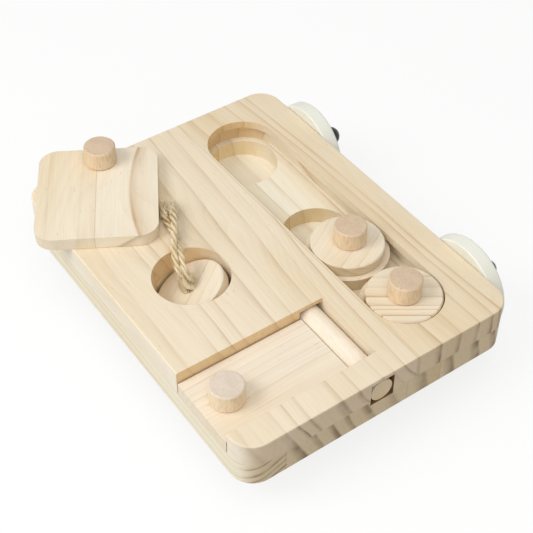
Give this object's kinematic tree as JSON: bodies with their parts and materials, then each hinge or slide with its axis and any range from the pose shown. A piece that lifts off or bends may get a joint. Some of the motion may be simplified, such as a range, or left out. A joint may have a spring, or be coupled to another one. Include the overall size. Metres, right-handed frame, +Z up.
{
  "type": "bird foraging puzzle",
  "caption": "Pine foraging board for cage birds: knobbed sliders in a track, a hinged flap, a loose lid and a plug on a rope cover treat wells; side bolts with washers clamp it to cage bars.",
  "frame": {"origin": "centre of the board's underside", "axes": "+X towards the cage, +Y from the open front edge to the back, +Z up"},
  "size_m": [0.1733, 0.1961, 0.0567],
  "materials": {
    "pine": "sanded, unfinished",
    "beech": "turned, unfinished",
    "screw_steel": "zinc plated",
    "nut_chrome": "polished",
    "washer_plastic": "moulded",
    "jute": "twisted fibre"
  },
  "bodies": {
    "board": {"top_board": "pine", "bottom_board": "pine", "front_bolt": "screw_steel", "back_bolt": "screw_steel"},
    "flap": {"hinge_dowel": "beech", "flap_panel": "pine", "flap_knob": "beech", "flap_screw": "screw_steel"},
    "lid": {"square_lid": "pine", "lid_knob": "beech", "lid_screw": "screw_steel"},
    "plug": {"rope_plug": "pine", "pull_rope": "jute"},
    "near_slider": {"near_disc": "pine", "near_flange": "pine", "near_knob": "beech", "near_screw": "screw_steel"},
    "far_slider": {"far_disc": "pine", "far_flange": "pine", "far_knob": "beech", "far_screw": "screw_steel"},
    "front_clamp": {"front_washer": "washer_plastic"},
    "front_nut": {"front_cap_nut": "nut_chrome"},
    "back_clamp": {"back_washer": "washer_plastic"},
    "back_nut": {"back_cap_nut": "nut_chrome"}
  },
  "joints": [
    {"name": "flap_hinge", "type": "hinge", "parent": "board", "child": "flap", "pos_m": [-0.002, -0.062, 0.0154], "axis": [0, 1, 0], "range_deg": [0, 105]},
    {"name": "lid_lift", "type": "slide", "parent": "board", "child": "lid", "axis": [0, 0, 1], "range_m": [0, 0.04]},
    {"name": "plug_lift", "type": "slide", "parent": "board", "child": "plug", "axis": [0, 0, 1], "range_m": [0, 0.04]},
    {"name": "near_slide", "type": "slide", "parent": "board", "child": "near_slider", "axis": [0, 1, 0], "range_m": [0, 0.0415]},
    {"name": "far_slide", "type": "slide", "parent": "near_slider", "child": "far_slider", "axis": [0, 1, 0], "range_m": [0, 0.0415]},
    {"name": "front_clamp_slide", "type": "slide", "parent": "board", "child": "front_clamp", "axis": [1, 0, 0], "range_m": [0, 0.004]},
    {"name": "front_nut_turn", "type": "hinge", "parent": "front_clamp", "child": "front_nut", "pos_m": [0.0802, -0.0595, 0.006], "axis": [1, 0, 0], "range_deg": [0, 1450]},
    {"name": "back_clamp_slide", "type": "slide", "parent": "board", "child": "back_clamp", "axis": [1, 0, 0], "range_m": [0, 0.004]},
    {"name": "back_nut_turn", "type": "hinge", "parent": "back_clamp", "child": "back_nut", "pos_m": [0.0802, 0.0595, 0.006], "axis": [1, 0, 0], "range_deg": [0, 1450]}
  ],
  "couplings": [
    {"joint": "front_nut_turn", "follows": "front_clamp_slide", "rad_per_m": 6283.2},
    {"joint": "back_nut_turn", "follows": "back_clamp_slide", "rad_per_m": 6283.2}
  ]
}
